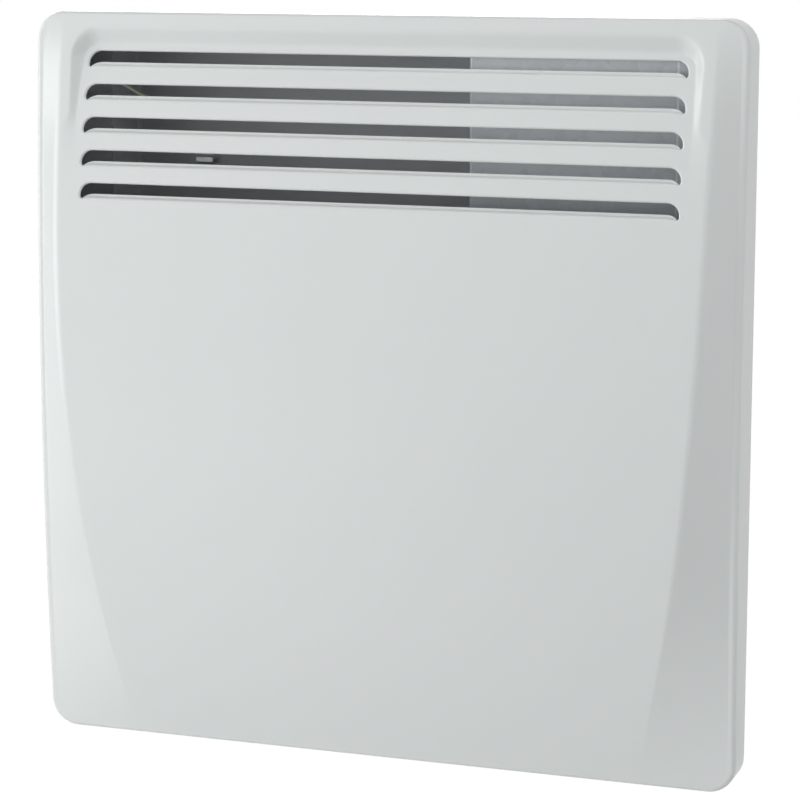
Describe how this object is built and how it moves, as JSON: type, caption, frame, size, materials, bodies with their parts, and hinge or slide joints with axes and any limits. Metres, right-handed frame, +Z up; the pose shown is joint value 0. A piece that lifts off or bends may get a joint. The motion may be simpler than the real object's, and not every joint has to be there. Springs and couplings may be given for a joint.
{
  "type": "wall panel convector heater",
  "caption": "Square white wall panel convector heater: pressed steel cover with a louvred outlet, finned element, side controls and a tilting wall bracket.",
  "frame": {"origin": "centre of the wall bracket's four screw holes, on the wall's face", "axes": "+X to the right seen from the front, +Y into the wall, +Z up"},
  "size_m": [0.44, 0.097, 0.449],
  "materials": {
    "cover_paint": "gloss white powder coat",
    "casing_paint": "satin grey coated sheet",
    "partition_sheet": "plain zinc-coated sheet",
    "bracket_steel": "zinc-coated",
    "shield_sheet": "bright",
    "fin_aluminium": "extruded, satin",
    "rod_steel": "heat-tinted",
    "tab_steel": "tin-plated",
    "bush_ceramic": "steatite",
    "screw_steel": "zinc-plated",
    "spring_steel": "spring steel",
    "earth_brass": "plain",
    "fascia_plastic": "fine matt white",
    "knob_plastic": "white",
    "switch_plastic": "black",
    "lens_red": "translucent red",
    "stat_plastic": "moulded",
    "spindle_metal": "turned",
    "block_nylon": "natural",
    "gland_nylon": "moulded",
    "rubber_black": "moulded",
    "wire_brown": "insulation",
    "wire_blue": "insulation",
    "wire_earth": "green and yellow insulation"
  },
  "bodies": {
    "bracket": {"wall_bracket": "bracket_steel", "pivot_pins": "screw_steel", "spring_clips": "spring_steel", "clip_rivets": "screw_steel"},
    "heater": {"front_cover": "cover_paint", "cover_hooks": "cover_paint", "cover_screws": "screw_steel", "rear_casing": "casing_paint", "wall_buffers": "rubber_black", "pivot_hooks": "bracket_steel", "element_fins": "fin_aluminium", "element_rod": "rod_steel", "end_bushes": "bush_ceramic", "element_supports": "bracket_steel", "element_tabs": "tab_steel", "support_screws": "screw_steel", "heat_shield": "shield_sheet", "shield_spacers": "bush_ceramic", "shield_screws": "screw_steel", "partition": "partition_sheet", "partition_screws": "screw_steel", "wire_grommet": "rubber_black", "control_fascia": "fascia_plastic", "fascia_screws": "screw_steel", "thermostat_body": "stat_plastic", "switch_body": "switch_plastic", "indicator_lens": "lens_red", "thermal_cutout": "tab_steel", "terminal_block": "block_nylon", "block_screw": "screw_steel", "cable_gland": "gland_nylon", "gland_nut": "gland_nylon", "live_lead": "wire_brown", "link_lead": "wire_brown", "load_lead": "wire_brown", "element_lead": "wire_brown", "neutral_lead": "wire_blue", "cover_stud": "earth_brass", "earth_terminals": "earth_brass", "earth_lead": "wire_earth", "earth_screw": "screw_steel"},
    "knob": {"thermostat_spindle": "spindle_metal", "thermostat_knob": "knob_plastic"},
    "rocker": {"switch_rocker": "switch_plastic"}
  },
  "joints": [
    {"name": "tilt", "type": "hinge", "parent": "bracket", "child": "heater", "pos_m": [0, -0.008, -0.182], "axis": [1, 0, 0], "range_deg": [0, 30]},
    {"name": "knob_turn", "type": "hinge", "parent": "heater", "child": "knob", "pos_m": [0.19, -0.033, -0.072], "axis": [-1, 0, 0], "range_deg": [0, 270]},
    {"name": "rocker_tip", "type": "hinge", "parent": "heater", "child": "rocker", "pos_m": [0.18118, -0.033, -0.115], "axis": [0, -1, 0], "range_deg": [0, 20]}
  ]
}
